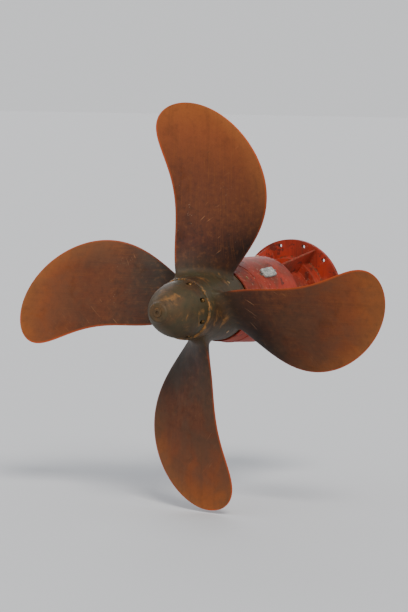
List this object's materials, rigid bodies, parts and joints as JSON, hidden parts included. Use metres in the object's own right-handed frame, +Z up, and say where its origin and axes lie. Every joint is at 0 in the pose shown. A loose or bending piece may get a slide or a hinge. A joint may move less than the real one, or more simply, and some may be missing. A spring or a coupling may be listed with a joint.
{
  "type": "ship propeller with tail shaft and stern boss",
  "caption": "Bronze fixed-pitch ship propeller with skewed blades on its tail shaft, turning in a flanged stern tube with a boss, shaft seals and rope guard.",
  "frame": {"origin": "centre of the tail shaft's coupling face, in the plane of the mounting flange's forward face", "axes": "+Y forward along the shaft axis, away from the propeller; +Z up; +X starboard"},
  "size_m": [5.9744, 4.5783, 5.9744],
  "materials": {
    "propeller_bronze": "weathered cast bronze, brown film over orange metal",
    "forged_steel": "machined, oiled",
    "hull_paint": "matt red antifouling paint, worn",
    "seal_bronze": "machined",
    "white_metal": "machined bearing metal",
    "zinc": "cast, corroded"
  },
  "bodies": {
    "stern_gear": {"mounting_flange": "hull_paint", "stern_tube": "hull_paint", "rib_1": "hull_paint", "rib_2": "hull_paint", "rib_3": "hull_paint", "rib_4": "hull_paint", "rib_5": "hull_paint", "rib_6": "hull_paint", "stern_boss": "hull_paint", "aft_bush": "white_metal", "forward_bush": "white_metal", "forward_seal_housing": "seal_bronze", "seal_flange_ring": "seal_bronze", "seal_middle_ring": "seal_bronze", "seal_cover_ring": "seal_bronze", "rope_guard_upper": "hull_paint", "rope_guard_lower": "hull_paint", "anode_1": "zinc", "anode_2": "zinc", "anode_3": "zinc", "anode_4": "zinc"},
    "shaft_line": {"propeller": "propeller_bronze", "hub_cap": "propeller_bronze", "cap_plug": "propeller_bronze", "propeller_nut": "propeller_bronze", "tail_shaft": "forged_steel", "seal_liner": "forged_steel"}
  },
  "joints": [
    {"name": "shaft_turn", "type": "hinge", "parent": "stern_gear", "child": "shaft_line", "pos_m": [0, 0, 0], "axis": [0, 1, 0], "continuous": true}
  ]
}
